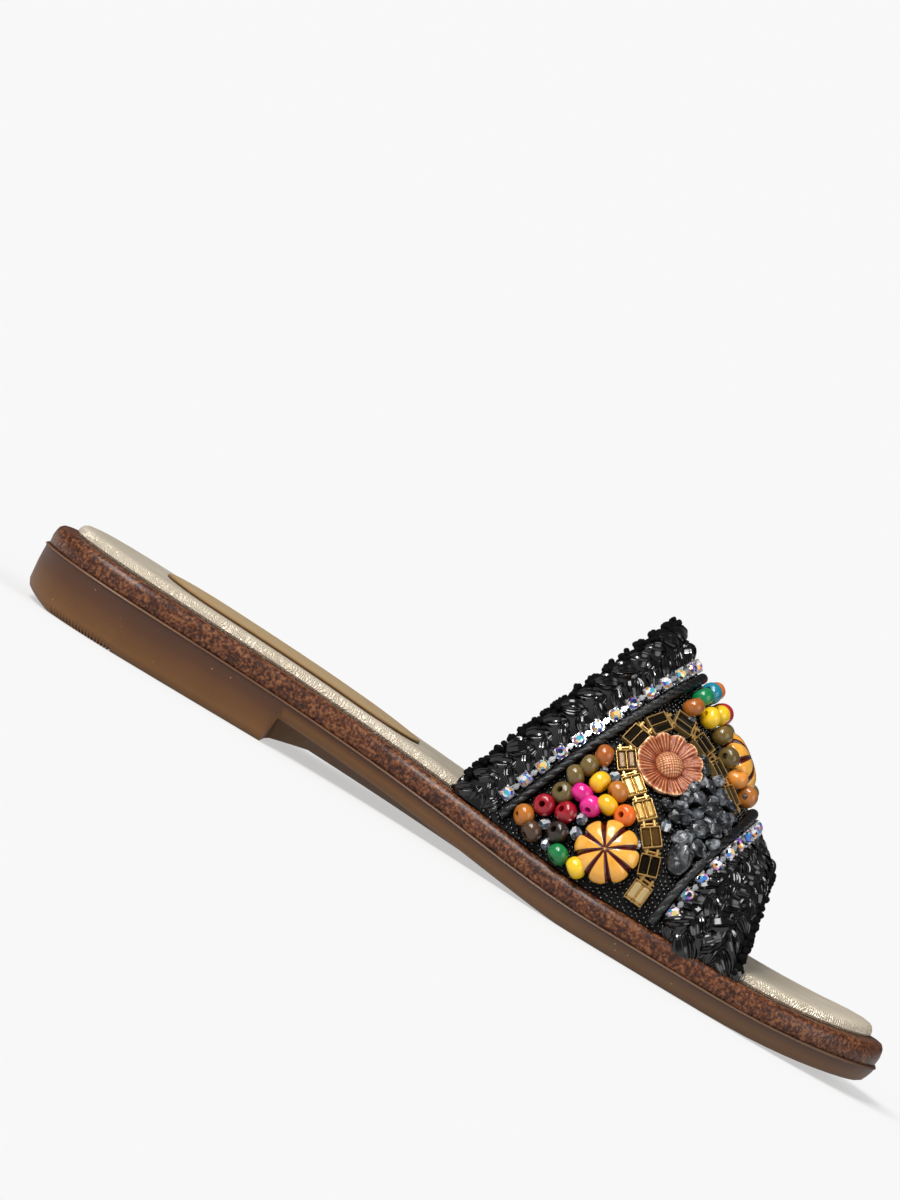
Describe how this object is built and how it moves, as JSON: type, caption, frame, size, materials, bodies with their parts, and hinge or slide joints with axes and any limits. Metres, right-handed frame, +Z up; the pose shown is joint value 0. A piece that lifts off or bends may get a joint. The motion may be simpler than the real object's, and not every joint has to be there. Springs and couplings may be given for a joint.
{
  "type": "slide sandal",
  "caption": "Flat slide sandal for the left foot: low heel, padded insole and one arched woven strap sewn with beads, stones, metal chains and flowers.",
  "frame": {"origin": "bottom centre of the whole shoe's box, on the floor under the sole", "axes": "+X to the toe, +Y to the outer (little toe) side, +Z up"},
  "size_m": [0.2498, 0.0918, 0.0794],
  "materials": {
    "outsole": "smooth translucent brown moulding",
    "welt": "burnished mottled brown leather",
    "insole": "pale gold metallic leather",
    "heel_sock": "golden tan leather",
    "raffia": "glossy black crochet",
    "cord": "twisted black cord",
    "crystal_chain": "silver cups with iridescent crystals",
    "gold_chain": "polished gold frames with dark stones",
    "copper": "brushed copper",
    "melon_bead": "amber lobes with dark grooves",
    "wood_beads": "lacquered beads in many colours",
    "stone_chips": "polished dark grey stone"
  },
  "bodies": {
    "root": {"outsole": "outsole", "welt": "welt", "insole": "insole", "heel_sock": "heel_sock", "upper": "raffia", "back_cord": "cord", "front_cord": "cord", "back_crystal_chain": "crystal_chain", "front_crystal_chain": "crystal_chain", "gold_chain_medial": "gold_chain", "gold_chain_lateral": "gold_chain", "flower_medial": "copper", "flower_lateral": "copper", "melon_medial": "melon_bead", "melon_lateral": "melon_bead", "melon_centre": "melon_bead", "beads_medial": "wood_beads", "beads_lateral": "wood_beads", "beads_centre": "wood_beads", "chips_medial": "stone_chips", "chips_lateral": "stone_chips"}
  },
  "joints": []
}
